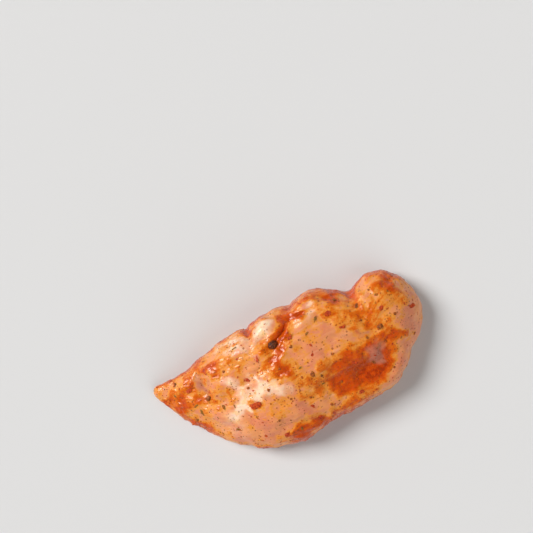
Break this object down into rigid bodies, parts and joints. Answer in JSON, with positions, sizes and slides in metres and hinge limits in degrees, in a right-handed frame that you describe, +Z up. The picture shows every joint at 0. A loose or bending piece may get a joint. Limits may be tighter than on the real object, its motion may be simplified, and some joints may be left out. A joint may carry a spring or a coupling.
{
  "type": "raw marinated chicken breast fillet",
  "caption": "Raw chicken breast fillet with a thin tip and a round head, lying on its flat side, wet with orange marinade and coarse spice.",
  "frame": {"origin": "middle of the fillet's box, on the surface that it lies on", "axes": "+X from the thin tip to the round head, +Y to the straight thick side, +Z up"},
  "size_m": [0.161, 0.075, 0.0336],
  "materials": {
    "flesh": "wet raw meat under an orange spice marinade"
  },
  "bodies": {
    "root": {"breast_fillet": "flesh"}
  },
  "joints": []
}
